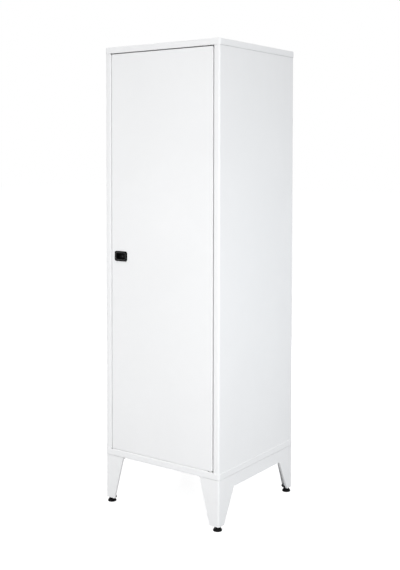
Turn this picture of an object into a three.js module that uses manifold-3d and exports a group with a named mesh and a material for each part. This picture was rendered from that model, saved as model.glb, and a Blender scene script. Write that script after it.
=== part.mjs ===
// A free-standing steel tool locker: a folded cabinet with one flush door on four tapered legs.
// Millimetres, +Z up, floor at z = 0, centred in X and Y, the door faces -Y.
import * as THREE from "three";
import { mergeVertices } from "three/addons/utils/BufferGeometryUtils.js";
import Module from "manifold-3d";

const wasm = await Module();
wasm.setup();

// Overall sizes: the body is measured over cap and tray, the legs from body to foot
const WIDTH = 500;
const DEPTH = 490;
const BODY_HEIGHT = 1475;
const LEG_HEIGHT = 158;
const FOOT_HEIGHT = 17;

// Sheet thicknesses, the film between welded sheets and the clearance of a fitted piece
const CAP_SHEET = 1.2;
const PANEL_SHEET = 1;
const LEG_SHEET = 1.5;
const LAP = 0.2;
const FIT = 0.3;

// How far a cutting shape runs past the face that it cuts through
const CUT_MARGIN = 1;

// Cap and tray
const RIM = 22;
const CORNER_RADIUS = 8;
const EDGE_RADIUS = 2;
const RIM_EDGE_RADIUS = 1;

// Side panels and rails of the door frame
const STILE = 26;
const STOP_WIDTH = 14;
const REAR_FLANGE = 25;
const BEND_RADIUS = 2;
const STILE_BEND = 4;

// Door
const DOOR_GAP = 3.2;
const DOOR_DEPTH = 20;
const DOOR_LIP = 18;
const DOOR_EDGE_RADIUS = 2;
const STOP_GAP = 6;
const STIFFENER_CROWN = 44;
const STIFFENER_FLANGE = 16;
const STIFFENER_DEPTH = 15;

// Door pivots
const PIVOT_INSET = 10;
const PIVOT_SETBACK = 7;
const PIN_RADIUS = 3;
const PIN_REACH = 7;
const PIN_HOLD = 16;
const BUSH_WALL = 1.5;
const BUSH_FLANGE = 1.6;
const PIVOT_BLOCK_HEIGHT = 14;

// Lock: a recessed dish with a turning grip that drives two locking rods through a pinion
const LOCK_INSET = 73;
const LOCK_DROP = 9.5;
const BEZEL_WIDTH = 56;
const BEZEL_HEIGHT = 36;
const BEZEL_PROUD = 3;
const BEZEL_RADIUS = 7;
const BEZEL_EDGE = 1;
const BEZEL_SIDE_BORDER = 6.5;
const BEZEL_TOP_BORDER = 6;
const DISH_WALL = 2.5;
const GRIP_OFFSET = 8;
const GRIP_RADIUS = 10;
const GRIP_DISC = 4;
const GRIP_WIDTH = 9;
const GRIP_RECESS = 1.5;
const PLUG_RADIUS = 3.2;
const PLUG_LENGTH = 9;
const KEY_SLOT_WIDTH = 1;
const KEY_SLOT_LENGTH = 4;
const SPINDLE_RADIUS = 5.5;
const DRIVE_SQUARE = 7;
const TOOTH_MODULE = 1.25;
const PINION_TEETH = 16;
const PRESSURE_ANGLE = Math.PI / 9;
const TOOTH_ROOT = 1.25;
const RACK_TIP = 0.8;
const BACKLASH = 0.35;
const ROD_THICKNESS = 3.5;
const ROD_BACKING = 8;
const ROD_TIP = 4;
const CASE_SHEET = 1.2;
const CASE_HEIGHT = 62;
const CASE_MARGIN = 3;
const CLAMP_SHEET = 2;
const CLAMP_BORDER = 8;
const GUIDE_WALL = 4;
const GUIDE_HEIGHT = 16;
const GUIDE_FROM_END = 60;
const BUMPER_RADIUS = 5;
const BUMPER_FROM_END = 120;

// Shelves
const SHELVES = ["lower", "middle", "upper"];
const SHELF_EDGE = 28;
const SHELF_LIP = 12;
const SHELF_PLAY = 1.5;
const SHELF_CLEAR = 4;
const RAIL_WIDTH = 18;
const RAIL_HEIGHT = 20;

// Leg frames
const LEG_INSET = 1.2;
const APRON = 43;
const FRONT_LEG_TOP = 80;
const FRONT_LEG_FOOT = 38;
const SIDE_LEG_TOP = 92;
const SIDE_LEG_FOOT = 32;
const LEG_LIP = 7;
const TOP_FLANGE = 30;
const BOLT_RADIUS = 4;
const BOLT_HEAD_RADIUS = 7;
const BOLT_HEAD = 5;
const BOLT_FROM_END = 60;

// Levelling feet
const FOOT_INSET = 16;
const FOOT_PLATE = 2;
const FOOT_PLATE_CHAMFER = 14;
const FOOT_PAD_RADIUS = 15.5;
const FOOT_PAD_EDGE = 3;
const FOOT_PAD_CHAMFER = 1;
const FOOT_PAD_TOP_RADIUS = 9.5;
const FOOT_PAD_WEB = 4;
const STUD_RADIUS = 5;
const STUD_LENGTH = 52;
const STUD_CHAMFER = 1;
const NUT_ACROSS_FLATS = 17;
const NUT_HEIGHT = 8;

// Steps of the round stretches
const BEND_STEPS = 4;
const CORNER_STEPS = 6;
const SOFT_STEPS = 3;
const ROUND_SIDES = 20;
const HEXAGON = 6;

// Places worked out from the sizes above, in the body's frame with its tray bottom at z = 0
const halfWidth = WIDTH / 2;
const halfDepth = DEPTH / 2;
const bodyBottom = FOOT_HEIGHT + LEG_HEIGHT;
const panelX = halfWidth - CAP_SHEET - LAP;
const faceY = -halfDepth + CAP_SHEET + LAP;
const rearY = halfDepth - CAP_SHEET - LAP;
const panelBend = CORNER_RADIUS - CAP_SHEET - LAP;
const panelBottom = CAP_SHEET + LAP;
const panelTop = BODY_HEIGHT - CAP_SHEET - LAP;
const webX = panelX - PANEL_SHEET;
const jambX = halfWidth - STILE;
const jambDepth = DOOR_DEPTH + STOP_GAP;
const lintelZ = BODY_HEIGHT - RIM;
const railHalf = panelX - panelBend - LAP;
const railFrontY = faceY + PANEL_SHEET + LAP;
const railRearY = faceY + jambDepth + 2 * PANEL_SHEET + LAP;
const backY = rearY - 2 * PANEL_SHEET - LAP;
const doorHalf = jambX - DOOR_GAP;
const doorBottom = RIM + DOOR_GAP;
const doorTop = lintelZ - DOOR_GAP;
const doorRear = faceY + DOOR_DEPTH;
const pivotX = doorHalf - PIVOT_INSET;
const pivotY = faceY + PIVOT_SETBACK;
const lockX = -halfWidth + LOCK_INSET;
const lockZ = (doorBottom + doorTop) / 2 - LOCK_DROP;
const gripX = lockX + GRIP_OFFSET;
const gripFront = faceY - BEZEL_PROUD + GRIP_RECESS;
const caseRear = doorRear - PANEL_SHEET - FIT;
const rodRear = caseRear - CASE_SHEET - FIT;
const rodFront = rodRear - ROD_THICKNESS;
const dishRear = rodFront - 2 * FIT;
const dishFloor = dishRear - DISH_WALL;
const pocketWidth = BEZEL_WIDTH - 2 * BEZEL_SIDE_BORDER;
const pocketHeight = BEZEL_HEIGHT - 2 * BEZEL_TOP_BORDER;
const dishWidth = pocketWidth + 2 * DISH_WALL;
const dishHeight = pocketHeight + 2 * DISH_WALL;
const pitchRadius = (TOOTH_MODULE * PINION_TEETH) / 2;
const rackRoot = pitchRadius + TOOTH_ROOT * TOOTH_MODULE;
const rodBack = rackRoot + ROD_BACKING;
const rodTravel = (pitchRadius * Math.PI) / 2;
const lockReach = Math.max(GRIP_OFFSET + dishWidth / 2, rodBack) + CASE_MARGIN;
const clampReach = lockReach + CASE_SHEET + CLAMP_BORDER;
const shelfFront = railRearY + SHELF_CLEAR;
const shelfRear = backY - SHELF_CLEAR;

// Places of the stand, in the frame of the whole locker with the floor at z = 0
const legBottom = FOOT_HEIGHT;
const legTop = bodyBottom - LAP;
const apronBottom = bodyBottom - APRON;
const legX = halfWidth - LEG_INSET;
const legY = halfDepth - LEG_INSET;
const legBend = CORNER_RADIUS - LEG_INSET;
const boltX = -legX + (LEG_SHEET + TOP_FLANGE) / 2;
const footCorner = FOOT_INSET - LEG_INSET;

const paint = new THREE.MeshStandardMaterial({ color: 0xf0f1f1, roughness: 0.42, metalness: 0 });
const blackPlastic = new THREE.MeshStandardMaterial({ color: 0x17181a, roughness: 0.5, metalness: 0 });
const zinc = new THREE.MeshStandardMaterial({ color: 0xb4b8bc, roughness: 0.35, metalness: 0.9 });
const blackZinc = new THREE.MeshStandardMaterial({ color: 0x3a3a3d, roughness: 0.4, metalness: 0.9 });
const nylon = new THREE.MeshStandardMaterial({ color: 0xe9e9e6, roughness: 0.55, metalness: 0 });
const rubber = new THREE.MeshStandardMaterial({ color: 0x1c1c1e, roughness: 0.85, metalness: 0 });

// A closed solid from a geometry: positions only, shared corners merged, collapsed faces dropped
function solidOf(geometry) {
  const bare = new THREE.BufferGeometry();
  bare.setAttribute("position", geometry.getAttribute("position"));
  bare.setIndex(geometry.getIndex());
  const merged = mergeVertices(bare, 1e-4);
  const index = merged.getIndex().array;
  const corners = [];
  for (let i = 0; i < index.length; i += 3) {
    const [a, b, c] = index.slice(i, i + 3);
    if (a !== b && b !== c && c !== a) corners.push(a, b, c);
  }
  const vertProperties = merged.getAttribute("position").array;
  const triVerts = Uint32Array.from(corners);
  return new wasm.Manifold(new wasm.Mesh({ numProp: 3, vertProperties, triVerts }));
}

function geometryOf(solid) {
  const mesh = solid.getMesh();
  const made = new THREE.BufferGeometry();
  made.setAttribute("position", new THREE.BufferAttribute(Float32Array.from(mesh.vertProperties), 3));
  made.setIndex(new THREE.BufferAttribute(Uint32Array.from(mesh.triVerts), 1));
  made.computeVertexNormals();
  return made;
}

function piece(name, solid, material) {
  const mesh = new THREE.Mesh(geometryOf(solid), material);
  mesh.name = name;
  return mesh;
}

function group(members) {
  const made = new THREE.Group();
  members.forEach((member) => made.add(member));
  return made;
}

function block([x0, x1], [y0, y1], [z0, z1]) {
  const made = new THREE.BoxGeometry(x1 - x0, y1 - y0, z1 - z0);
  return solidOf(made.translate((x0 + x1) / 2, (y0 + y1) / 2, (z0 + z1) / 2));
}

// Turns a geometry drawn along Z so that it runs along the named axis
function along(axis, geometry) {
  const X = new THREE.Vector3(1, 0, 0);
  const Y = new THREE.Vector3(0, 1, 0);
  const Z = new THREE.Vector3(0, 0, 1);
  if (axis === "x") return geometry.applyMatrix4(new THREE.Matrix4().makeBasis(Y, Z, X));
  if (axis === "y") return geometry.applyMatrix4(new THREE.Matrix4().makeBasis(X, Z, Y.negate()));
  return geometry;
}

// An outline extruded along an axis: drawn in (x, y) for z, in (y, z) for x and in (x, z) for y
function extrude(outline, axis, from, to) {
  const settings = { depth: to - from, bevelEnabled: false, curveSegments: CORNER_STEPS / 2 };
  const made = along(axis, new THREE.ExtrudeGeometry(outline, settings));
  const start = { x: [from, 0, 0], y: [0, to, 0], z: [0, 0, from] }[axis];
  return solidOf(made.translate(...start));
}

// A rounded slab about a centre, extruded with both ends rounded off by an edge radius
function softExtrude([width, height, radius, edge], centre, axis, from, to) {
  const outline = rounded(width - 2 * edge, height - 2 * edge, radius - edge, centre);
  const made = new THREE.ExtrudeGeometry(outline, {
    depth: to - from - 2 * edge,
    bevelThickness: edge,
    bevelSize: edge,
    bevelSegments: SOFT_STEPS,
    curveSegments: CORNER_STEPS / 2,
  });
  const start = { x: [from + edge, 0, 0], y: [0, to - edge, 0], z: [0, 0, from + edge] }[axis];
  return solidOf(along(axis, made).translate(...start));
}

function rounded(width, height, radius, [u, v] = [0, 0]) {
  const reachU = width / 2 - radius;
  const reachV = height / 2 - radius;
  const shape = new THREE.Shape();
  shape.absarc(u + reachU, v + reachV, radius, 0, Math.PI / 2);
  shape.absarc(u - reachU, v + reachV, radius, Math.PI / 2, Math.PI);
  shape.absarc(u - reachU, v - reachV, radius, Math.PI, 1.5 * Math.PI);
  shape.absarc(u + reachU, v - reachV, radius, 1.5 * Math.PI, 2 * Math.PI);
  return shape;
}

function polygon(points) {
  return new THREE.Shape(points.map(([u, v]) => new THREE.Vector2(u, v)));
}

// The outline of a folded sheet, from its mid-line: each inner point is [u, v, bend radius]
function folded(midline, sheet) {
  const points = midline.map(([u, v]) => new THREE.Vector2(u, v));
  const runs = points.slice(1).map((point, i) => point.clone().sub(points[i]).normalize());
  const sides = [[], []];
  const put = (point, normal) => {
    sides[0].push(point.clone().addScaledVector(normal, sheet / 2));
    sides[1].unshift(point.clone().addScaledVector(normal, -sheet / 2));
  };
  const normalOf = (run) => new THREE.Vector2(-run.y, run.x);
  put(points[0], normalOf(runs[0]));
  for (let i = 1; i < points.length - 1; i += 1) {
    const [before, after] = [runs[i - 1], runs[i]];
    const turn = Math.atan2(before.cross(after), before.dot(after));
    const radius = midline[i][2] * Math.sign(turn);
    const reach = Math.abs(radius * Math.tan(turn / 2));
    const normal = normalOf(before);
    const centre = points[i].clone().addScaledVector(before, -reach).addScaledVector(normal, radius);
    for (let k = 0; k <= BEND_STEPS; k += 1) {
      const turned = normal.clone().rotateAround(new THREE.Vector2(), (turn * k) / BEND_STEPS);
      put(centre.clone().addScaledVector(turned, -radius), turned);
    }
  }
  put(points.at(-1), normalOf(runs.at(-1)));
  return new THREE.Shape([...sides[0], ...sides[1]]);
}

// A round bar along an axis, placed by its centre in the two other axes
function bar(radius, axis, from, to, [u, v]) {
  const outline = new THREE.Shape().absarc(u, v, radius, 0, 2 * Math.PI);
  const settings = { depth: to - from, bevelEnabled: false, curveSegments: ROUND_SIDES / 2 };
  const made = along(axis, new THREE.ExtrudeGeometry(outline, settings));
  const start = { x: [from, 0, 0], y: [0, to, 0], z: [0, 0, from] }[axis];
  return solidOf(made.translate(...start));
}

// A turned piece standing along Z, from its profile of [radius, height] points, bottom first
function turned(profile) {
  const made = new THREE.LatheGeometry(
    profile.map(([r, h]) => new THREE.Vector2(r, h)),
    ROUND_SIDES,
  );
  return solidOf(made.rotateX(Math.PI / 2));
}

// A round ring along Z with a bore through it
function ring(outer, bore, from, to) {
  const solid = bar(outer, "z", from, to, [0, 0]);
  return solid.subtract(bar(bore, "z", from - CUT_MARGIN, to + CUT_MARGIN, [0, 0]));
}

// A hexagon prism along Z, from its corner radius
function hexagon(corner, from, to) {
  const made = new THREE.CylinderGeometry(corner, corner, to - from, HEXAGON).rotateX(Math.PI / 2);
  return solidOf(made.translate(0, 0, (from + to) / 2));
}

// Cap and tray: one folded tray shape with a rounded rim, the cap turned upside down
function trayShell() {
  const outline = [WIDTH, DEPTH, CORNER_RADIUS];
  const slab = softExtrude([...outline, EDGE_RADIUS], [0, 0], "z", 0, 2 * RIM);
  const below = softExtrude([...outline, RIM_EDGE_RADIUS], [0, 0], "z", -RIM, RIM);
  const hollow = rounded(WIDTH - 2 * CAP_SHEET, DEPTH - 2 * CAP_SHEET, CORNER_RADIUS - CAP_SHEET);
  return slab.intersect(below).subtract(extrude(hollow, "z", CAP_SHEET, RIM + CUT_MARGIN));
}

// Left side panel: rear flange, web, rounded front corner, stile, jamb and door stop in one sheet.
// Jamb and stop are notched away at both ends, where the rails of the door frame pass.
function sidePanel() {
  const half = PANEL_SHEET / 2;
  const jamb = -jambX - half;
  const stopY = faceY + jambDepth + half;
  const section = folded(
    [
      [-panelX + REAR_FLANGE, rearY - half],
      [-panelX + half, rearY - half, panelBend - half],
      [-panelX + half, faceY + half, panelBend - half],
      [jamb, faceY + half, STILE_BEND],
      [jamb, stopY, BEND_RADIUS],
      [jamb + STOP_WIDTH, stopY],
    ],
    PANEL_SHEET,
  );
  const notchX = [jamb - STILE_BEND - PANEL_SHEET, jamb + STOP_WIDTH + CUT_MARGIN];
  const notchY = [faceY + PANEL_SHEET, stopY + PANEL_SHEET];
  return extrude(section, "z", panelBottom, panelTop)
    .subtract(block(notchX, notchY, [panelBottom - CUT_MARGIN, RIM + BEND_RADIUS + LAP]))
    .subtract(block(notchX, notchY, [lintelZ - BEND_RADIUS - LAP, panelTop + CUT_MARGIN]));
}

function backPanel() {
  const half = panelX - panelBend - LAP;
  return block([-half, half], [backY, backY + PANEL_SHEET], [panelBottom, panelTop]);
}

function pivotHole() {
  const radius = PIN_RADIUS + FIT + BUSH_WALL + LAP;
  return bar(radius, "z", 0, BODY_HEIGHT, [pivotX, pivotY]);
}

// Slot for the end of a locking rod, side -1 for the upper rod and 1 for the lower one
function rodSlot(side, z) {
  const margin = 2 * FIT;
  const from = gripX + side * (rodBack + margin);
  const to = gripX + side * (rackRoot - margin);
  const x = [Math.min(from, to), Math.max(from, to)];
  return block(x, [rodFront - margin, rodRear + margin], z);
}

// Rail over the door: it stands behind the cap's rim, carries the upper pivot and stops the door
function lintelRail() {
  const half = PANEL_SHEET / 2;
  const stopY = railRearY - half;
  const section = folded(
    [
      [railFrontY + half, panelTop],
      [railFrontY + half, lintelZ + half, BEND_RADIUS],
      [stopY, lintelZ + half, BEND_RADIUS],
      [stopY, lintelZ - STOP_WIDTH],
    ],
    PANEL_SHEET,
  );
  return extrude(section, "x", -railHalf, railHalf)
    .subtract(pivotHole())
    .subtract(rodSlot(-1, [doorTop, BODY_HEIGHT]));
}

// Rail under the door: a channel on the tray that carries the lower pivot
function sillRail() {
  const half = PANEL_SHEET / 2;
  const section = folded(
    [
      [railFrontY + half, panelBottom],
      [railFrontY + half, RIM - half, BEND_RADIUS],
      [railRearY - half, RIM - half, BEND_RADIUS],
      [railRearY - half, panelBottom],
    ],
    PANEL_SHEET,
  );
  return extrude(section, "x", -railHalf, railHalf)
    .subtract(pivotHole())
    .subtract(rodSlot(1, [0, doorBottom]));
}

// Floor of the locker: level with the sill, standing on its folded front and rear edges
function floorPan() {
  const half = PANEL_SHEET / 2;
  const front = railRearY + LAP + half;
  const rear = backY - LAP - half;
  const section = folded(
    [
      [front, panelBottom],
      [front, RIM - half, BEND_RADIUS],
      [rear, RIM - half, BEND_RADIUS],
      [rear, panelBottom],
    ],
    PANEL_SHEET,
  );
  const reach = webX - BEND_RADIUS - LAP;
  return extrude(section, "x", -reach, reach);
}

// Shelf with folded front and rear edges, its top face at z = 0
function shelf() {
  const half = PANEL_SHEET / 2;
  const [front, rear] = [shelfFront + half, shelfRear - half];
  const section = folded(
    [
      [front + SHELF_LIP, half - SHELF_EDGE],
      [front, half - SHELF_EDGE, BEND_RADIUS],
      [front, -half, BEND_RADIUS],
      [rear, -half, BEND_RADIUS],
      [rear, half - SHELF_EDGE, BEND_RADIUS],
      [rear - SHELF_LIP, half - SHELF_EDGE],
    ],
    PANEL_SHEET,
  );
  const reach = webX - SHELF_PLAY;
  return extrude(section, "x", -reach, reach);
}

// Left angle that carries a shelf, its seat just under the shelf's sheet
function shelfRail() {
  const half = PANEL_SHEET / 2;
  const seat = -PANEL_SHEET - LAP - half;
  const x = -webX + LAP + half;
  const section = folded(
    [
      [x + RAIL_WIDTH, seat],
      [x, seat, BEND_RADIUS],
      [x, seat - RAIL_HEIGHT],
    ],
    PANEL_SHEET,
  );
  const ends = PANEL_SHEET + SHELF_LIP + BEND_RADIUS;
  return extrude(section, "y", shelfFront + ends, shelfRear - ends);
}

// Hole for the lock's dish through a sheet, about the dish's middle
function dishHole(centre, from, to) {
  const outline = rounded(dishWidth + 2 * FIT, dishHeight + 2 * FIT, BEZEL_RADIUS - DISH_WALL, centre);
  return extrude(outline, "y", from - CUT_MARGIN, to + CUT_MARGIN);
}

// Door skin: a folded pan with lips, cut for the lock, the rods and the pivot pins
function doorSkin() {
  const height = doorTop - doorBottom;
  const middle = (doorTop + doorBottom) / 2;
  const inside = doorHalf - PANEL_SHEET;
  const opening = doorHalf - DOOR_LIP;
  const edge = DOOR_EDGE_RADIUS;
  const outer = [2 * doorHalf, height, 2 * edge, edge];
  const skinRear = faceY + PANEL_SHEET;
  const hollowZ = [doorBottom + PANEL_SHEET, doorTop - PANEL_SHEET];
  const openingZ = [doorBottom + DOOR_LIP, doorTop - DOOR_LIP];
  return softExtrude(outer, [0, middle], "y", faceY, doorRear + 2 * edge)
    .subtract(block([-WIDTH, WIDTH], [doorRear, doorRear + DOOR_DEPTH], [0, BODY_HEIGHT]))
    .subtract(block([-inside, inside], [skinRear, doorRear - PANEL_SHEET], hollowZ))
    .subtract(block([-opening, opening], [skinRear, doorRear + CUT_MARGIN], openingZ))
    .subtract(dishHole([lockX, lockZ], faceY, skinRear))
    .subtract(bar(PIN_RADIUS + FIT, "z", 0, BODY_HEIGHT, [pivotX, pivotY]))
    .subtract(rodSlot(-1, [middle, BODY_HEIGHT]))
    .subtract(rodSlot(1, [0, middle]));
}

// Hat channel that stiffens the door from top to bottom
function doorStiffener() {
  const half = PANEL_SHEET / 2;
  const base = faceY + PANEL_SHEET + LAP + half;
  const crown = STIFFENER_CROWN / 2;
  const section = folded(
    [
      [-crown - STIFFENER_FLANGE, base],
      [-crown, base, BEND_RADIUS],
      [-crown, base + STIFFENER_DEPTH, BEND_RADIUS],
      [crown, base + STIFFENER_DEPTH, BEND_RADIUS],
      [crown, base, BEND_RADIUS],
      [crown + STIFFENER_FLANGE, base],
    ],
    PANEL_SHEET,
  );
  return extrude(section, "z", doorBottom + PANEL_SHEET + LAP, doorTop - PANEL_SHEET - LAP);
}

// Pivot parts of the lower end, about the pivot axis with the sill's top face at z = 0
function pivotPin() {
  return bar(PIN_RADIUS, "z", -PIN_REACH, DOOR_GAP + PIN_HOLD, [0, 0]);
}

function pivotBush() {
  const body = PIN_RADIUS + FIT + BUSH_WALL;
  const flange = ring(body + BUSH_FLANGE, PIN_RADIUS + FIT, LAP, DOOR_GAP - FIT);
  return flange.add(ring(body, PIN_RADIUS + FIT, -PIN_REACH, DOOR_GAP - FIT));
}

function pivotBlock() {
  const reach = PIVOT_INSET - PANEL_SHEET - LAP;
  const front = PANEL_SHEET + LAP - PIVOT_SETBACK;
  const bottom = DOOR_GAP + PANEL_SHEET + LAP;
  const solid = block([-reach, reach], [front, -front], [bottom, bottom + PIVOT_BLOCK_HEIGHT]);
  return solid.subtract(bar(PIN_RADIUS + LAP, "z", 0, BODY_HEIGHT, [0, 0]));
}

// Lock parts are drawn about the grip's axis, which runs along Y through x = 0, z = 0
function lockDish() {
  const bezelFront = faceY - BEZEL_PROUD;
  const centre = [-GRIP_OFFSET, 0];
  const inner = BEZEL_RADIUS - DISH_WALL;
  const outer = [BEZEL_WIDTH, BEZEL_HEIGHT, BEZEL_RADIUS, BEZEL_EDGE];
  const behind = block([-WIDTH, WIDTH], [faceY - LAP, faceY + DOOR_DEPTH], [-DEPTH, DEPTH]);
  const shell = rounded(dishWidth, dishHeight, inner, centre);
  const pocket = rounded(pocketWidth, pocketHeight, inner, centre);
  return softExtrude(outer, centre, "y", bezelFront, faceY + 2 * BEZEL_EDGE)
    .subtract(behind)
    .add(extrude(shell, "y", faceY - BEZEL_PROUD / 2, dishRear))
    .subtract(extrude(pocket, "y", bezelFront - CUT_MARGIN, dishFloor))
    .subtract(bar(SPINDLE_RADIUS + FIT, "y", dishFloor - CUT_MARGIN, dishRear + CUT_MARGIN, [0, 0]));
}

function lockGrip() {
  const discBack = dishFloor - FIT;
  const discFront = discBack - GRIP_DISC;
  const plugHole = [gripFront - CUT_MARGIN, gripFront + PLUG_LENGTH + LAP];
  const wing = rounded(2 * GRIP_RADIUS, GRIP_WIDTH, GRIP_WIDTH / 2 - LAP);
  const square = DRIVE_SQUARE / 2;
  return bar(GRIP_RADIUS, "y", discFront, discBack, [0, 0])
    .add(extrude(wing, "y", gripFront, discBack))
    .add(bar(SPINDLE_RADIUS, "y", discFront, rodFront - FIT, [0, 0]))
    .add(block([-square, square], [discFront, caseRear + FIT], [-square, square]))
    .subtract(bar(PLUG_RADIUS + LAP, "y", ...plugHole, [0, 0]));
}

function keyPlug() {
  const slotX = KEY_SLOT_WIDTH / 2;
  const slotY = [gripFront - CUT_MARGIN, gripFront + PLUG_LENGTH / 2];
  const slotZ = KEY_SLOT_LENGTH / 2;
  const slot = block([-slotX, slotX], slotY, [-slotZ, slotZ]);
  return bar(PLUG_RADIUS, "y", gripFront, gripFront + PLUG_LENGTH, [0, 0]).subtract(slot);
}

// Pinion with involute teeth, a gap of the teeth facing each rack
function lockPinion() {
  const involute = (angle) => Math.tan(angle) - angle;
  const baseRadius = pitchRadius * Math.cos(PRESSURE_ANGLE);
  const pitchHalf = Math.PI / (2 * PINION_TEETH) - BACKLASH / (2 * pitchRadius);
  const halfAt = (radius) => {
    const angle = Math.acos(Math.min(1, baseRadius / radius));
    return pitchHalf + involute(PRESSURE_ANGLE) - involute(angle);
  };
  const rootRadius = pitchRadius - TOOTH_ROOT * TOOTH_MODULE;
  const radii = [rootRadius, pitchRadius, pitchRadius + TOOTH_MODULE];
  const points = [];
  for (let tooth = 0; tooth < PINION_TEETH; tooth += 1) {
    const middle = ((tooth + 0.5) * 2 * Math.PI) / PINION_TEETH;
    const at = (radius, angle) => points.push([radius * Math.cos(angle), radius * Math.sin(angle)]);
    radii.forEach((radius) => at(radius, middle - halfAt(radius)));
    radii.toReversed().forEach((radius) => at(radius, middle + halfAt(radius)));
  }
  const square = DRIVE_SQUARE / 2 + LAP;
  const holeY = [rodFront - CUT_MARGIN, rodRear + CUT_MARGIN];
  const hole = block([-square, square], holeY, [-square, square]);
  return extrude(polygon(points), "y", rodFront, rodRear).subtract(hole);
}

// Locking rod to the left of the grip, its rack facing the pinion, its tip up at the given height
function lockRod(tip) {
  const pitch = Math.PI * TOOTH_MODULE;
  const slope = Math.tan(PRESSURE_ANGLE);
  const rackTip = pitchRadius - RACK_TIP * TOOTH_MODULE;
  const halfPitch = pitch / 4 - BACKLASH / 2;
  const below = Math.ceil((rodTravel + pitch) / pitch);
  const bottom = -(below + 1) * pitch;
  const points = [
    [-rodBack, tip - ROD_TIP],
    [-rodBack, bottom],
    [-rackRoot, bottom],
  ];
  for (let tooth = -below; tooth <= 2; tooth += 1) {
    const rootHalf = halfPitch + (rackRoot - pitchRadius) * slope;
    const tipHalf = halfPitch - (pitchRadius - rackTip) * slope;
    points.push([-rackRoot, tooth * pitch - rootHalf]);
    points.push([-rackTip, tooth * pitch - tipHalf]);
    points.push([-rackTip, tooth * pitch + tipHalf]);
    points.push([-rackRoot, tooth * pitch + rootHalf]);
  }
  points.push([-rackRoot, tip - ROD_TIP]);
  points.push([-rackRoot - ROD_TIP / 2, tip]);
  points.push([-rodBack + ROD_TIP / 2, tip]);
  return extrude(polygon(points), "y", rodFront, rodRear);
}

// Clamp plate behind the door skin that holds the dish
function lockClamp() {
  const front = faceY + PANEL_SHEET + LAP;
  const rear = front + CLAMP_SHEET;
  const tall = dishHeight / 2 + CLAMP_BORDER;
  const plate = block([-clampReach, clampReach], [front, rear], [-tall, tall]);
  return plate.subtract(dishHole([-GRIP_OFFSET, 0], front, rear));
}

// Case over the pinion, open at both ends for the rods, standing on the clamp plate
function lockCase() {
  const half = CASE_SHEET / 2;
  const front = faceY + PANEL_SHEET + CLAMP_SHEET + 2 * LAP;
  const wall = lockReach + half;
  const section = folded(
    [
      [-wall, front],
      [-wall, caseRear - half, BEND_RADIUS],
      [wall, caseRear - half, BEND_RADIUS],
      [wall, front],
    ],
    CASE_SHEET,
  );
  const holeY = [rodRear, caseRear + CUT_MARGIN];
  const hole = bar(DRIVE_SQUARE / Math.SQRT2 + FIT, "y", ...holeY, [0, 0]);
  return extrude(section, "z", -CASE_HEIGHT / 2, CASE_HEIGHT / 2).subtract(hole);
}

// Guide block for a rod to the left of the grip, seated on the door skin, its middle at z = 0
function rodGuide() {
  const x = [-rodBack - GUIDE_WALL, -rackRoot + GUIDE_WALL];
  const y = [faceY + PANEL_SHEET + LAP, caseRear];
  const z = [-GUIDE_HEIGHT / 2, GUIDE_HEIGHT / 2];
  const slotX = [-rodBack - FIT, -rackRoot + FIT];
  const slotY = [rodFront - FIT, rodRear + FIT];
  return block(x, y, z).subtract(block(slotX, slotY, [-GUIDE_HEIGHT, GUIDE_HEIGHT]));
}

// Rubber buffer on the door stop, facing the door's lip
function bumper() {
  const from = doorRear + FIT;
  return bar(BUMPER_RADIUS, "y", from, faceY + jambDepth - LAP, [-jambX + STOP_WIDTH / 2, 0]);
}

// Left leg frame: front flange, web and rear flange of one sheet, cut to an apron and two tapered legs
// whose slanted edges are folded in, with a flange under the tray
function legFrame() {
  const half = LEG_SHEET / 2;
  const [x, y] = [-legX + half, legY - half];
  const section = folded(
    [
      [-legX + FRONT_LEG_TOP, -y],
      [x, -y, legBend - half],
      [x, y, legBend - half],
      [-legX + FRONT_LEG_TOP, y],
    ],
    LEG_SHEET,
  );
  const between = polygon([
    [-legY + SIDE_LEG_TOP, apronBottom],
    [-legY + SIDE_LEG_FOOT, legBottom - CUT_MARGIN],
    [legY - SIDE_LEG_FOOT, legBottom - CUT_MARGIN],
    [legY - SIDE_LEG_TOP, apronBottom],
  ]);
  const pastTaper = -legX + FRONT_LEG_TOP + CUT_MARGIN;
  const taper = polygon([
    [-legX + FRONT_LEG_FOOT, legBottom],
    [-legX + FRONT_LEG_FOOT, legBottom - CUT_MARGIN],
    [pastTaper, legBottom - CUT_MARGIN],
    [pastTaper, legTop],
    [-legX + FRONT_LEG_TOP, legTop],
  ]);
  const lipX = [-legX + half, -legX + LEG_LIP];
  const flangeX = [-legX + half, -legX + TOP_FLANGE];
  const flangeY = legY - legBend;
  const apronY = legY - SIDE_LEG_TOP + half;
  const frame = extrude(section, "z", legBottom, legTop)
    .subtract(extrude(between, "x", -legX - CUT_MARGIN, -legX + LEG_SHEET + CUT_MARGIN))
    .subtract(extrude(taper, "y", -DEPTH, DEPTH))
    .add(block(flangeX, [-flangeY, flangeY], [legTop - LEG_SHEET, legTop]))
    .add(block(lipX, [-apronY, apronY], [apronBottom, apronBottom + LEG_SHEET]))
    .add(sideLip(-1, lipX))
    .add(sideLip(1, lipX))
    .add(frontLip([-legY + half, -legY + LEG_LIP]))
    .add(frontLip([legY - LEG_LIP, legY - half]));
  return bolts().reduce((drilled, y) => drilled.subtract(boltHole(y)), frame);
}

// Folded lip along a leg's slanted edge in the side, end -1 for the front leg and 1 for the rear one
function sideLip(end, x) {
  const height = apronBottom + LEG_SHEET;
  const edge = polygon([
    [end * (legY - SIDE_LEG_FOOT + LEG_SHEET), legBottom],
    [end * (legY - SIDE_LEG_FOOT), legBottom],
    [end * (legY - SIDE_LEG_TOP), height],
    [end * (legY - SIDE_LEG_TOP + LEG_SHEET), height],
  ]);
  return extrude(edge, "x", ...x);
}

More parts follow.
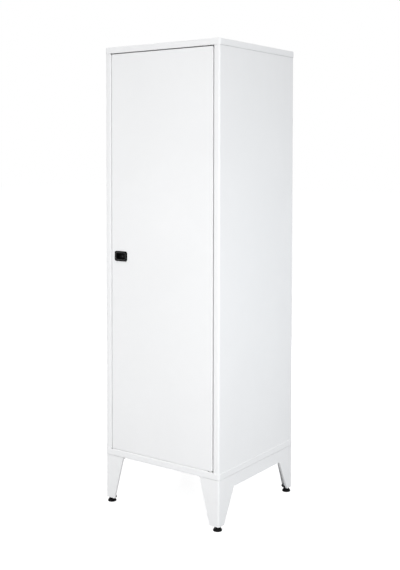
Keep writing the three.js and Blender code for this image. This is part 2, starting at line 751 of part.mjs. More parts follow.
// The same along the slanted edge in the front or the rear
function frontLip(y) {
  const edge = polygon([
    [-legX + FRONT_LEG_FOOT - LEG_SHEET, legBottom],
    [-legX + FRONT_LEG_FOOT, legBottom],
    [-legX + FRONT_LEG_TOP, legTop],
    [-legX + FRONT_LEG_TOP - LEG_SHEET, legTop],
  ]);
  return extrude(edge, "y", ...y);
}

// Places of the bolts between leg frame and tray, along the depth
function bolts() {
  return [-1, 1].map((end) => end * (halfDepth - BOLT_FROM_END));
}

function boltHole(y) {
  return bar(BOLT_RADIUS + FIT, "z", legTop - RIM, bodyBottom + RIM, [boltX, y]);
}

// Bolt from below through the leg frame's flange and the tray, a plain hexagon head
function standBolt() {
  const under = legTop - LEG_SHEET - LAP;
  const head = hexagon(BOLT_HEAD_RADIUS, under - BOLT_HEAD, under);
  const shankTop = bodyBottom + panelBottom + BOLT_HEAD;
  return head.add(bar(BOLT_RADIUS, "z", under - BOLT_HEAD / 2, shankTop, [0, 0]));
}

// Foot plate inside the end of the front left leg, drawn from the leg's outer corner
function footPlate() {
  const wall = LEG_SHEET + LAP;
  const [reachX, reachY] = [FRONT_LEG_FOOT - wall, SIDE_LEG_FOOT - wall];
  const outline = new THREE.Shape();
  outline.moveTo(reachX, wall);
  outline.lineTo(reachX, reachY - FOOT_PLATE_CHAMFER);
  outline.lineTo(reachX - FOOT_PLATE_CHAMFER, reachY);
  outline.lineTo(wall, reachY);
  outline.absarc(legBend, legBend, legBend - wall, Math.PI, 1.5 * Math.PI);
  const hole = bar(STUD_RADIUS + FIT, "z", 0, LEG_HEIGHT, [footCorner, footCorner]);
  return extrude(outline, "z", FOOT_HEIGHT, FOOT_HEIGHT + FOOT_PLATE).subtract(hole);
}

function footNut() {
  const corner = NUT_ACROSS_FLATS / Math.sqrt(3);
  const bottom = FOOT_HEIGHT + FOOT_PLATE + LAP;
  const solid = hexagon(corner, bottom, bottom + NUT_HEIGHT);
  return solid.subtract(bar(STUD_RADIUS + FIT, "z", 0, LEG_HEIGHT, [0, 0]));
}

function footPad() {
  const top = FOOT_HEIGHT - FIT;
  const bore = STUD_RADIUS + LAP;
  return turned([
    [0, 0],
    [FOOT_PAD_RADIUS - FOOT_PAD_CHAMFER, 0],
    [FOOT_PAD_RADIUS, FOOT_PAD_CHAMFER],
    [FOOT_PAD_RADIUS, FOOT_PAD_EDGE],
    [FOOT_PAD_TOP_RADIUS + FOOT_PAD_CHAMFER, top - FOOT_PAD_EDGE],
    [FOOT_PAD_TOP_RADIUS, top],
    [bore, top],
    [bore, FOOT_PAD_WEB],
    [0, FOOT_PAD_WEB],
  ]);
}

function footStud() {
  const bottom = FOOT_PAD_WEB + LAP;
  const top = bottom + STUD_LENGTH;
  return turned([
    [0, bottom],
    [STUD_RADIUS, bottom],
    [STUD_RADIUS, top - STUD_CHAMFER],
    [STUD_RADIUS - STUD_CHAMFER, top],
    [0, top],
  ]);
}

// A piece made for the left, placed as it is or mirrored to the right
function onSide(side, mesh) {
  mesh.scale.x = side === "left" ? 1 : -1;
  return mesh;
}

function carcass() {
  const cap = piece("top_cap", trayShell(), paint);
  cap.rotation.x = Math.PI;
  cap.position.z = BODY_HEIGHT;
  let tray = trayShell();
  for (const y of bolts()) {
    tray = tray.subtract(bar(BOLT_RADIUS + FIT, "z", -CUT_MARGIN, RIM, [boltX, y]));
    tray = tray.subtract(bar(BOLT_RADIUS + FIT, "z", -CUT_MARGIN, RIM, [-boltX, y]));
  }
  return group([
    cap,
    piece("bottom_tray", tray, paint),
    onSide("left", piece("left_side_panel", sidePanel(), paint)),
    onSide("right", piece("right_side_panel", sidePanel(), paint)),
    piece("back_panel", backPanel(), paint),
    piece("lintel_rail", lintelRail(), paint),
    piece("sill_rail", sillRail(), paint),
    piece("floor_pan", floorPan(), paint),
  ]);
}

function shelving() {
  const made = group([]);
  const spacing = (panelTop - RIM) / (SHELVES.length + 1);
  SHELVES.forEach((name, i) => {
    const level = group([
      piece(`${name}_shelf`, shelf(), paint),
      onSide("left", piece(`${name}_shelf_rail_left`, shelfRail(), paint)),
      onSide("right", piece(`${name}_shelf_rail_right`, shelfRail(), paint)),
    ]);
    level.position.z = RIM + (i + 1) * spacing;
    made.add(level);
  });
  return made;
}

function pivots() {
  const lower = group([
    piece("lower_pivot_pin", pivotPin(), zinc),
    piece("lower_pivot_bush", pivotBush(), nylon),
    piece("lower_pivot_block", pivotBlock(), zinc),
  ]);
  lower.position.set(pivotX, pivotY, RIM);
  const upper = group([
    piece("upper_pivot_pin", pivotPin(), zinc),
    piece("upper_pivot_bush", pivotBush(), blackPlastic),
    piece("upper_pivot_block", pivotBlock(), zinc),
  ]);
  upper.position.set(pivotX, pivotY, lintelZ);
  upper.rotation.x = Math.PI;
  return group([lower, upper]);
}

function lock() {
  const upperTip = doorTop - lockZ - FIT;
  const lowerTip = lockZ - doorBottom - FIT;
  const lowerRod = piece("lower_lock_rod", lockRod(lowerTip), zinc);
  lowerRod.rotation.y = Math.PI;
  const upperGuide = piece("upper_rod_guide", rodGuide(), nylon);
  upperGuide.position.z = upperTip - GUIDE_FROM_END;
  const lowerGuide = onSide("right", piece("lower_rod_guide", rodGuide(), nylon));
  lowerGuide.position.z = GUIDE_FROM_END - lowerTip;
  const made = group([
    piece("lock_dish", lockDish(), blackPlastic),
    piece("lock_grip", lockGrip(), blackPlastic),
    piece("key_plug", keyPlug(), blackZinc),
    piece("lock_pinion", lockPinion(), zinc),
    piece("lock_clamp", lockClamp(), zinc),
    piece("lock_case", lockCase(), zinc),
    piece("upper_lock_rod", lockRod(upperTip), zinc),
    lowerRod,
    upperGuide,
    lowerGuide,
  ]);
  made.position.set(gripX, 0, lockZ);
  return made;
}

function door() {
  const skin = piece("door_skin", doorSkin(), paint);
  const stiffener = piece("door_stiffener", doorStiffener(), paint);
  return group([skin, stiffener, lock()]);
}

function bumpers() {
  const made = group([]);
  const places = { upper: doorTop - BUMPER_FROM_END, lower: doorBottom + BUMPER_FROM_END };
  for (const [name, z] of Object.entries(places)) {
    const mesh = piece(`${name}_door_bumper`, bumper(), rubber);
    mesh.position.z = z;
    made.add(mesh);
  }
  return made;
}

function levellingFoot(name) {
  return group([
    piece(`${name}_foot_nut`, footNut(), zinc),
    piece(`${name}_foot_stud`, footStud(), blackZinc),
    piece(`${name}_foot_pad`, footPad(), blackPlastic),
  ]);
}

function stand() {
  const made = group([]);
  for (const side of ["left", "right"]) {
    const sign = side === "left" ? -1 : 1;
    made.add(onSide(side, piece(`${side}_leg_frame`, legFrame(), paint)));
    for (const end of ["front", "rear"]) {
      const way = end === "front" ? -1 : 1;
      const plate = piece(`${end}_${side}_foot_plate`, footPlate(), blackZinc);
      plate.position.set(sign * legX, way * legY, 0);
      plate.scale.set(-sign, -way, 1);
      const foot = levellingFoot(`${end}_${side}`);
      foot.position.set(sign * (halfWidth - FOOT_INSET), way * (halfDepth - FOOT_INSET), 0);
      const bolt = piece(`${end}_${side}_stand_bolt`, standBolt(), zinc);
      bolt.position.set(-sign * boltX, bolts()[end === "front" ? 0 : 1], 0);
      made.add(plate, foot, bolt);
    }
  }
  return made;
}

const body = group([carcass(), shelving(), pivots(), door(), bumpers()]);
body.position.z = bodyBottom;
const locker = group([stand(), body]);

export default locker;
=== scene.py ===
import functools
import math

import bpy
from bpy.props import FloatProperty, FloatVectorProperty, IntProperty, PointerProperty
from mathutils import Matrix, Vector


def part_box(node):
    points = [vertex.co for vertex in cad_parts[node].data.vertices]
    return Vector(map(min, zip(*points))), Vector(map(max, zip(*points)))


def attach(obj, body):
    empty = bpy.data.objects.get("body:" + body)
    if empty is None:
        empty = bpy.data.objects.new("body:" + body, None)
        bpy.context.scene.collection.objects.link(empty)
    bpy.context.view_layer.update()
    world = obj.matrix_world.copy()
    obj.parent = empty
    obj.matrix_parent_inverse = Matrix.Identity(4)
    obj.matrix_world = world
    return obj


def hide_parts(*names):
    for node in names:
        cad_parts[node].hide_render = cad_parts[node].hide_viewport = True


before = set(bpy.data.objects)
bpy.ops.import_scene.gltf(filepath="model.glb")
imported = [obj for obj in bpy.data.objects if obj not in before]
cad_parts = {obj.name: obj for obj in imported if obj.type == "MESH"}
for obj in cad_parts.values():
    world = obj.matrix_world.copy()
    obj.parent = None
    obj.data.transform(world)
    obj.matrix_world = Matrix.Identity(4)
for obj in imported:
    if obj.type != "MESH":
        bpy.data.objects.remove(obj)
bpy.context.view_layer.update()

bl_info = {
    "name": "Tool Locker",
    "version": (1, 0, 0),
    "blender": (4, 5, 0),
    "location": "3D View > Sidebar > Locker",
    "description": "Powder coat, latch, levelling feet and studio for a steel tool locker",
    "category": "Object",
}

CORNERS = ("front_left", "front_right", "rear_left", "rear_right")
SHELVES = ("lower", "middle", "upper")
ENDS = ("upper", "lower")

# Nearly all of a noise texture's values lie in this range
NOISE_LOW, NOISE_HIGH = 0.3, 0.7

# Stretch of the lines that drawing leaves, along a rod's length and along a plug's axis
DRAWN_UPRIGHT = (900.0, 900.0, 40.0)
DRAWN_THROUGH = (1500.0, 60.0, 1500.0)

# Points of a solid, and of a bevel that found no room, are one within these distances
SAME_CORNER = 0.000002
SAME_BEVEL = 0.0000003


class LockerFinish(bpy.types.PropertyGroup):
    """Colours and surface grain of the locker's finishes."""

    paint: FloatVectorProperty(
        name="Powder coat",
        description="Colour of the painted sheet steel",
        subtype="COLOR",
        min=0.0,
        max=1.0,
        default=(0.857, 0.859, 0.863),
    )
    primer: FloatVectorProperty(
        name="Rubbed edge",
        description="Colour of the coat where handling has thinned it on an edge",
        subtype="COLOR",
        min=0.0,
        max=1.0,
        default=(0.62, 0.63, 0.65),
    )
    dust: FloatVectorProperty(
        name="Workshop dust",
        description="Colour of the thin dust on faces that look up",
        subtype="COLOR",
        min=0.0,
        max=1.0,
        default=(0.6, 0.58, 0.54),
    )
    # Painted shadow: this colour darkens the panels just under the cap's rim, where the rim's shade
    # falls.
    grime: FloatVectorProperty(
        name="Seam grime",
        description="Colour of the dirt that collects on the panels under the cap's rim",
        subtype="COLOR",
        min=0.0,
        max=1.0,
        default=(0.44, 0.44, 0.45),
    )
    plastic: FloatVectorProperty(
        name="Black plastic",
        description="Colour of the latch and of the levelling feet",
        subtype="COLOR",
        min=0.0,
        max=1.0,
        default=(0.0025, 0.0025, 0.0028),
    )
    zinc: FloatVectorProperty(
        name="Zinc plating",
        description="Colour of rods, pins, nuts and bolts",
        subtype="COLOR",
        min=0.0,
        max=1.0,
        default=(0.56, 0.58, 0.6),
    )
    plug: FloatVectorProperty(
        name="Key plug",
        description="Colour of the plated key plug",
        subtype="COLOR",
        min=0.0,
        max=1.0,
        default=(0.04, 0.04, 0.042),
    )
    # Painted shade: the upper bush is dark grey to match the shade in the top gap, while the lower bush
    # of the same kind is white.
    dusted: FloatVectorProperty(
        name="Dusted plastic",
        description="Colour of the upper bush, black plastic that is grey with dust",
        subtype="COLOR",
        min=0.0,
        max=1.0,
        default=(0.14, 0.14, 0.142),
    )
    nylon: FloatVectorProperty(
        name="Nylon",
        description="Colour of the lower bush and the rod guides",
        subtype="COLOR",
        min=0.0,
        max=1.0,
        default=(0.8, 0.8, 0.785),
    )
    black_zinc: FloatVectorProperty(
        name="Black zinc",
        description="Colour of the levelling feet's studs and plates",
        subtype="COLOR",
        min=0.0,
        max=1.0,
        default=(0.05, 0.05, 0.052),
    )
    rubber: FloatVectorProperty(
        name="Rubber",
        description="Colour of the door bumpers",
        subtype="COLOR",
        min=0.0,
        max=1.0,
        default=(0.018, 0.018, 0.019),
    )
    peel_size: FloatProperty(
        name="Orange peel",
        description="Width of one soft bump of the powder coat",
        unit="LENGTH",
        min=0.0002,
        default=0.0024,
    )
    peel_depth: FloatProperty(
        name="Orange peel depth",
        description="Height of the powder coat's soft bumps",
        unit="LENGTH",
        min=0.0,
        default=0.00003,
    )


class LockerEdges(bpy.types.PropertyGroup):
    """Rounding of the pieces' edges."""

    sheet: FloatProperty(
        name="Sheet edge",
        description="Rounding of a cut edge under the coat of paint",
        unit="LENGTH",
        min=0.0,
        default=0.0003,
    )
    rim: FloatProperty(
        name="Rim edge",
        description="Rounding of what is left of the rims' edges, which are already bent",
        unit="LENGTH",
        min=0.0,
        default=0.00008,
    )
    moulded: FloatProperty(
        name="Moulded edge",
        description="Rounding of the latch's edges",
        unit="LENGTH",
        min=0.0,
        default=0.0005,
    )
    hardware: FloatProperty(
        name="Hardware edge",
        description="Rounding of the edges of rods, bolts and blocks",
        unit="LENGTH",
        min=0.0,
        default=0.00025,
    )
    fold_angle: FloatProperty(
        name="Fold angle",
        description="Facets that meet at less than this angle are shaded as one bend",
        subtype="ANGLE",
        min=0.0,
        default=math.radians(36),
    )


class LockerFittings(bpy.types.PropertyGroup):
    """Sizes of the fittings that are modelled here."""

    bead: FloatProperty(
        name="Pocket bead",
        description="Radius of the bead round the latch's finger pocket",
        unit="LENGTH",
        min=0.0002,
        default=0.0011,
    )
    pocket_width: FloatProperty(
        name="Pocket width",
        description="Width of the latch's finger pocket",
        unit="LENGTH",
        default=0.043,
    )
    pocket_height: FloatProperty(
        name="Pocket height",
        description="Height of the latch's finger pocket",
        unit="LENGTH",
        default=0.024,
    )
    pocket_radius: FloatProperty(
        name="Pocket corner",
        description="Corner radius of the latch's finger pocket",
        unit="LENGTH",
        default=0.0045,
    )
    threshold: FloatProperty(
        name="Threshold clearance",
        description="Gap that stays between the threshold strip and the door",
        unit="LENGTH",
        min=0.0003,
        default=0.0005,
    )
    thread_pitch: FloatProperty(
        name="Thread pitch",
        description="Pitch of the levelling studs' thread",
        unit="LENGTH",
        min=0.0005,
        default=0.0015,
    )
    thread_depth: FloatProperty(
        name="Thread depth",
        description="Depth of the levelling studs' thread",
        unit="LENGTH",
        min=0.0001,
        default=0.0009,
    )
    weld_radius: FloatProperty(
        name="Spot weld",
        description="Radius of one spot weld's mark",
        unit="LENGTH",
        min=0.001,
        default=0.0032,
    )
    weld_spacing: FloatProperty(
        name="Weld spacing",
        description="Distance from one spot weld to the next",
        unit="LENGTH",
        min=0.02,
        default=0.117,
    )
    round_sides: IntProperty(
        name="Round sides",
        description="Steps round the turned pieces",
        min=16,
        default=64,
    )


class LockerStudio(bpy.types.PropertyGroup):
    """Light and camera of the studio."""

    ambient: FloatProperty(
        name="Ambient",
        description="Strength of the even light from all round",
        min=0.0,
        default=0.444,
    )
    key: FloatProperty(
        name="Key light",
        description="Power of the large softbox at the near corner",
        subtype="POWER",
        min=0.0,
        default=17.25,
    )
    fill: FloatProperty(
        name="Fill light",
        description="Power of the softbox in front of the door",
        subtype="POWER",
        min=0.0,
        default=14.2,
    )
    side: FloatProperty(
        name="Side light",
        description="Power of the softbox beside the right panel",
        subtype="POWER",
        min=0.0,
        default=2.8,
    )
    top: FloatProperty(
        name="Top light",
        description="Power of the large softbox high above the near corner",
        subtype="POWER",
        min=0.0,
        default=243.0,
    )
    back: FloatProperty(
        name="Back light",
        description="Power of the softbox behind the locker",
        subtype="POWER",
        min=0.0,
        default=50.0,
    )
    camera: FloatVectorProperty(
        name="Camera",
        description="Place of the camera",
        subtype="TRANSLATION",
        default=(1.9562, -2.7451, 1.2474),
    )
    yaw: FloatProperty(
        name="Yaw",
        description="Turn of the view away from the door's normal",
        subtype="ANGLE",
        default=math.radians(35.536),
    )
    pitch: FloatProperty(
        name="Pitch",
        description="Tilt of the view below the horizon",
        subtype="ANGLE",
        default=math.radians(2.106),
    )
    roll: FloatProperty(
        name="Roll",
        description="Turn of the picture about the line of sight",
        subtype="ANGLE",
        default=math.radians(0.089),
    )
    lens: FloatProperty(
        name="Lens",
        description="Focal length on a 36 mm sensor",
        subtype="DISTANCE_CAMERA",
        default=57.95,
    )
    shift: FloatProperty(
        name="Lens shift",
        description="Vertical shift of the lens that keeps upright edges upright",
        default=-0.16,
    )


# Node helpers


def put(tree, kind, inputs=None, **fields):
    """A node with its fields set, and its inputs set or linked."""
    node = tree.nodes.new(kind)
    for name, value in fields.items():
        setattr(node, name, value)
    for name, value in (inputs or {}).items():
        if isinstance(value, bpy.types.NodeSocket):
            tree.links.new(value, node.inputs[name])
        else:
            node.inputs[name].default_value = value
    return node


def maths(tree, operation, a, b=None, clamp=False):
    """A maths node's result."""
    inputs = {0: a} if b is None else {0: a, 1: b}
    return put(tree, "ShaderNodeMath", inputs, operation=operation, use_clamp=clamp).outputs[0]


def blend(tree, factor, a, b):
    """A mixed colour."""
    node = put(tree, "ShaderNodeMix", {0: factor, 6: a, 7: b}, data_type="RGBA")
    return node.outputs[2]


def spread(tree, value, low, high, to_low=0.0, to_high=1.0):
    """A value carried from one range to another, kept inside it."""
    inputs = {0: value, 1: low, 2: high, 3: to_low, 4: to_high}
    return put(tree, "ShaderNodeMapRange", inputs).outputs[0]


def noise(tree, vector, scale, detail, **inputs):
    """A noise texture's value."""
    inputs.update({"Vector": vector, "Scale": scale, "Detail": detail})
    return put(tree, "ShaderNodeTexNoise", inputs).outputs["Fac"]


def spread_noise(tree, value, to_low=0.0, to_high=1.0):
    """A noise texture's value carried to a range."""
    return spread(tree, value, NOISE_LOW, NOISE_HIGH, to_low, to_high)


def opaque(colour, factor=1.0):
    """A colour property as the four numbers of a socket."""
    return (*(channel * factor for channel in colour), 1.0)


def facing(tree):
    """The X, Y and Z of the surface's normal."""
    surface = put(tree, "ShaderNodeNewGeometry")
    return put(tree, "ShaderNodeSeparateXYZ", {0: surface.outputs["Normal"]}).outputs


def shader_group(name, inputs, outputs):
    """A new shader node group: the tree, the sockets it is given and the sockets of its result."""
    tree = bpy.data.node_groups.new(name, "ShaderNodeTree")
    for socket, kind in inputs.items():
        tree.interface.new_socket(socket, in_out="INPUT", socket_type=kind)
    for socket, kind in outputs.items():
        tree.interface.new_socket(socket, in_out="OUTPUT", socket_type=kind)
    return tree, put(tree, "NodeGroupInput").outputs, put(tree, "NodeGroupOutput").inputs


def shared(kind):
    """Has a node group or material built the first time, and found by its name after that."""

    def wrap(build):
        @functools.wraps(build)
        def find(name=build.__name__, *values, **settings):
            return getattr(bpy.data, kind).get(name) or build(name, *values, **settings)

        return find

    return wrap


@shared("node_groups")
def orange_peel(name):
    """Soft bumps of sprayed powder coat, as a height, and its fine mottle."""
    tree, given, result = shader_group(
        name,
        {"Vector": "NodeSocketVector", "Bump Size": "NodeSocketFloat"},
        {"Height": "NodeSocketFloat", "Mottle": "NodeSocketFloat"},
    )
    vector = given["Vector"]
    scale = maths(tree, "DIVIDE", 1.0, given["Bump Size"])
    soft = noise(tree, vector, scale, 1.5, Roughness=0.35)
    finer = maths(tree, "MULTIPLY", scale, 0.8)
    cells = put(
        tree,
        "ShaderNodeTexVoronoi",
        {"Vector": vector, "Scale": finer, "Smoothness": 0.8},
        feature="SMOOTH_F1",
    )
    rounded = maths(tree, "MULTIPLY", cells.outputs["Distance"], 0.5)
    height = maths(tree, "ADD", soft, rounded)
    tree.links.new(height, result["Height"])
    coarse = maths(tree, "MULTIPLY", scale, 0.07)
    tree.links.new(noise(tree, vector, coarse, 4.0), result["Mottle"])
    return tree


@shared("node_groups")
def rubbed_edges(name):
    """A broken mask along convex and concave edges, as handling leaves it."""
    tree, given, result = shader_group(
        name,
        {"Vector": "NodeSocketVector", "Width": "NodeSocketFloat", "Amount": "NodeSocketFloat"},
        {"Mask": "NodeSocketFloat"},
    )
    rounded = put(tree, "ShaderNodeBevel", {"Radius": given["Width"]}, samples=4)
    surface = put(tree, "ShaderNodeNewGeometry")
    along = put(
        tree,
        "ShaderNodeVectorMath",
        {0: rounded.outputs["Normal"], 1: surface.outputs["Normal"]},
        operation="DOT_PRODUCT",
    )
    away = maths(tree, "SUBTRACT", 1.0, along.outputs["Value"], clamp=True)
    specks = noise(tree, given["Vector"], 85.0, 5.0, Roughness=0.65)
    broken = spread(tree, specks, 0.46, 0.66)
    along_edge = maths(tree, "MULTIPLY", away, 6.0, clamp=True)
    strength = maths(tree, "MULTIPLY", along_edge, broken)
    mask = maths(tree, "MULTIPLY", strength, given["Amount"], clamp=True)
    tree.links.new(mask, result["Mask"])
    return tree


@shared("node_groups")
def settled_dust(name):
    """A thin uneven mask on faces that look up."""
    tree, given, result = shader_group(
        name,
        {"Vector": "NodeSocketVector", "Amount": "NodeSocketFloat"},
        {"Mask": "NodeSocketFloat"},
    )
    upward = spread(tree, facing(tree)["Z"], 0.5, 0.95)
    patches = noise(tree, given["Vector"], 14.0, 6.0, Roughness=0.7)
    thin = spread(tree, patches, 0.35, 0.75, 0.15, 1.0)
    settled = maths(tree, "MULTIPLY", upward, thin)
    mask = maths(tree, "MULTIPLY", settled, given["Amount"], clamp=True)
    tree.links.new(mask, result["Mask"])
    return tree


@shared("node_groups")
def seam_grime(name):
    """A mask for a painted shadow: a soft uneven line just under a seam, except on faces that look to the
    front.
    """
    tree, given, result = shader_group(
        name,
        {
            "Vector": "NodeSocketVector",
            "Height": "NodeSocketFloat",
            "Width": "NodeSocketFloat",
            "Amount": "NodeSocketFloat",
        },
        {"Mask": "NodeSocketFloat"},
    )
    point = put(tree, "ShaderNodeSeparateXYZ", {0: given["Vector"]})
    below = maths(tree, "SUBTRACT", given["Height"], point.outputs["Z"])
    line = spread(tree, below, 0.0, given["Width"], 1.0, 0.0)
    turned = spread(tree, facing(tree)["Y"], -0.95, -0.5)
    uneven = spread_noise(tree, noise(tree, given["Vector"], 40.0, 4.0), 0.7, 1.0)
    strength = maths(tree, "MULTIPLY", maths(tree, "MULTIPLY", line, turned), uneven)
    mask = maths(tree, "MULTIPLY", strength, given["Amount"], clamp=True)
    tree.links.new(mask, result["Mask"])
    return tree


@shared("node_groups")
def handling_marks(name):
    """Broad soft blotches and fine stray scratches."""
    tree, given, result = shader_group(
        name,
        {
            "Vector": "NodeSocketVector",
            "Blotch Scale": "NodeSocketFloat",
            "Scratch Scale": "NodeSocketFloat",
        },
        {"Blotch": "NodeSocketFloat", "Scratch": "NodeSocketFloat"},
    )
    vector = given["Vector"]
    blotch = noise(tree, vector, given["Blotch Scale"], 3.0, Distortion=0.6)
    tree.links.new(blotch, result["Blotch"])
    lines = put(
        tree,
        "ShaderNodeTexVoronoi",
        {"Vector": vector, "Scale": given["Scratch Scale"], "Randomness": 1.0},
        feature="DISTANCE_TO_EDGE",
    )
    thin = spread(tree, lines.outputs["Distance"], 0.0, 0.012, 1.0, 0.0)
    gaps = noise(tree, vector, given["Scratch Scale"], 2.0)
    kept = spread(tree, gaps, 0.56, 0.66)
    tree.links.new(maths(tree, "MULTIPLY", thin, kept), result["Scratch"])
    return tree


@shared("node_groups")
def drawn_grain(name):
    """Fine lines left by drawing or rolling, along the direction that is stretched least."""
    tree, given, result = shader_group(
        name,
        {"Vector": "NodeSocketVector", "Stretch": "NodeSocketVector"},
        {"Line": "NodeSocketFloat", "Cloud": "NodeSocketFloat"},
    )
    stretched = put(
        tree,
        "ShaderNodeVectorMath",
        {0: given["Vector"], 1: given["Stretch"]},
        operation="MULTIPLY",
    )
    tree.links.new(noise(tree, stretched.outputs[0], 1.0, 3.0), result["Line"])
    cloud = noise(tree, given["Vector"], 160.0, 2.0)
    tree.links.new(cloud, result["Cloud"])
    return tree


def place(tree, group, coordinates, **values):
    """A node group set into a material, on the piece's own coordinates."""
    node = put(tree, "ShaderNodeGroup", node_tree=group)
    tree.links.new(coordinates, node.inputs["Vector"])
    for name, value in values.items():
        node.inputs[name.replace("_", " ").title()].default_value = value
    return node.outputs


def blank_material(name):
    """A material with only its shader: the tree, the shader and the piece's own coordinates."""
    material = bpy.data.materials.new(name)
    material.use_nodes = True
    tree = material.node_tree
    shader = tree.nodes["Principled BSDF"]
    coordinates = put(tree, "ShaderNodeTexCoord").outputs["Object"]
    return material, tree, shader, coordinates


def finish_shader(tree, shader, colour, roughness, height, distance, strength):
    """Links a finish's colour, roughness and bump to its shader."""
    bump = put(tree, "ShaderNodeBump", {"Height": height, "Distance": distance, "Strength": strength})
    tree.links.new(colour, shader.inputs["Base Color"])
    tree.links.new(roughness, shader.inputs["Roughness"])
    tree.links.new(bump.outputs["Normal"], shader.inputs["Normal"])


@shared("materials")
def powder_coat(name, seam=None):
    """White satin powder coat: orange peel, blotches, rubbed edges, dust and a painted shadow under a
    seam.
    """
    finish = bpy.context.scene.locker_finish
    material, tree, shader, coordinates = blank_material(name)
    peel = place(tree, orange_peel(), coordinates, bump_size=finish.peel_size)
    marks = place(tree, handling_marks(), coordinates, blotch_scale=2.6, scratch_scale=9.0)
    edges = place(tree, rubbed_edges(), coordinates, width=0.0012, amount=0.3)
    dusty = place(tree, settled_dust(), coordinates, amount=0.1)
    tone = spread_noise(tree, marks["Blotch"])
    colour = blend(tree, tone, opaque(finish.paint), opaque(finish.paint, 0.975))
    speckle = spread(tree, peel["Mottle"], 0.35, 0.65, 0.0, 0.25)
    colour = blend(tree, speckle, colour, opaque(finish.paint, 0.97))
    colour = blend(tree, edges["Mask"], colour, opaque(finish.primer))
    colour = blend(tree, dusty["Mask"], colour, opaque(finish.dust))
    # Painted shadow: the panels darken in a soft uneven line just under the cap's rim.
    if seam is not None:
        painted_shadow = place(tree, seam_grime(), coordinates, height=seam, width=0.0024, amount=0.55)
        colour = blend(tree, painted_shadow["Mask"], colour, opaque(finish.grime))
    base = spread_noise(tree, marks["Blotch"], 0.36, 0.45)
    grainy = maths(tree, "ADD", base, spread_noise(tree, peel["Mottle"], -0.03, 0.03))
    scuffed = maths(tree, "ADD", grainy, maths(tree, "MULTIPLY", marks["Scratch"], 0.08))
    roughness = maths(tree, "ADD", scuffed, maths(tree, "MULTIPLY", dusty["Mask"], 0.6), clamp=True)
    finish_shader(tree, shader, colour, roughness, peel["Height"], finish.peel_depth, strength=0.6)
    return material


@shared("materials")
def moulded_plastic(name):
    """Black moulded plastic: fine spark texture, worn lighter on its edges."""
    finish = bpy.context.scene.locker_finish
    material, tree, shader, coordinates = blank_material(name)
    texture = place(tree, orange_peel(), coordinates, bump_size=0.0004)
    marks = place(tree, handling_marks(), coordinates, blotch_scale=60.0, scratch_scale=140.0)
    edges = place(tree, rubbed_edges(), coordinates, width=0.0006, amount=0.5)
    dusty = place(tree, settled_dust(), coordinates, amount=0.06)
    worn = opaque((0.018, 0.018, 0.019))
    tone = spread_noise(tree, marks["Blotch"])
    colour = blend(tree, tone, opaque(finish.plastic), opaque(finish.plastic, 1.6))
    colour = blend(tree, maths(tree, "MULTIPLY", marks["Scratch"], 0.35), colour, worn)
    colour = blend(tree, edges["Mask"], colour, worn)
    colour = blend(tree, dusty["Mask"], colour, opaque(finish.dust))
    roughness = spread_noise(tree, marks["Blotch"], 0.4, 0.55)
    finish_shader(tree, shader, colour, roughness, texture["Height"], distance=0.00004, strength=0.5)
    shader.inputs["Specular IOR Level"].default_value = 0.07
    return material


@shared("materials")
def satin_bead(name):
    """The smoother bead round the latch's pocket, coloured lighter as a painted highlight on the pocket's
    rim; its gloss also catches real light.
    """
    material, tree, shader, coordinates = blank_material(name)
    texture = place(tree, orange_peel(), coordinates, bump_size=0.0006)
    marks = place(tree, handling_marks(), coordinates, blotch_scale=90.0, scratch_scale=220.0)
    tone = spread_noise(tree, marks["Blotch"])
    # Painted highlight: the bead's colours are lighter than the black plastic round it.
    dark = opaque((0.026, 0.026, 0.027))
    pale = opaque((0.038, 0.038, 0.039))
    colour = blend(tree, tone, dark, pale)
    roughness = spread_noise(tree, marks["Blotch"], 0.28, 0.4)
    finish_shader(tree, shader, colour, roughness, texture["Height"], distance=0.00002, strength=0.4)
    shader.inputs["Specular IOR Level"].default_value = 0.35
    return material


@shared("materials")
def plated_metal(name, colour, stretch):
    """Plated steel: drawn lines, cloudy plating and a few scratches."""
    material, tree, shader, coordinates = blank_material(name)
    grain = place(tree, drawn_grain(), coordinates, stretch=stretch)
    marks = place(tree, handling_marks(), coordinates, blotch_scale=35.0, scratch_scale=120.0)
    edges = place(tree, rubbed_edges(), coordinates, width=0.0005, amount=0.4)
    tone = spread_noise(tree, grain["Cloud"])
    shade = blend(tree, tone, opaque(colour), opaque(colour, 0.82))
    shade = blend(tree, spread(tree, grain["Line"], 0.4, 0.7, 0.0, 0.3), shade, opaque(colour, 0.6))
    shade = blend(tree, edges["Mask"], shade, opaque(colour, 1.25))
    base = spread_noise(tree, marks["Blotch"], 0.26, 0.42)
    lined = maths(tree, "ADD", base, spread_noise(tree, grain["Line"], -0.05, 0.08))
    roughness = maths(tree, "ADD", lined, maths(tree, "MULTIPLY", marks["Scratch"], 0.15), clamp=True)
    finish_shader(tree, shader, shade, roughness, grain["Line"], distance=0.00002, strength=0.35)
    shader.inputs["Metallic"].default_value = 1.0
    return material


def zinc_plating():
    """Zinc plating of the locker's rods and fasteners."""
    return plated_metal("zinc_plating", bpy.context.scene.locker_finish.zinc, DRAWN_UPRIGHT)


def key_plating():
    """Dark plating of the key plug."""
    return plated_metal("key_plating", bpy.context.scene.locker_finish.plug, DRAWN_THROUGH)


def black_zinc_plating():
    """Black zinc plating of the levelling feet's studs and plates."""
    return plated_metal("black_zinc_plating", bpy.context.scene.locker_finish.black_zinc, DRAWN_UPRIGHT)


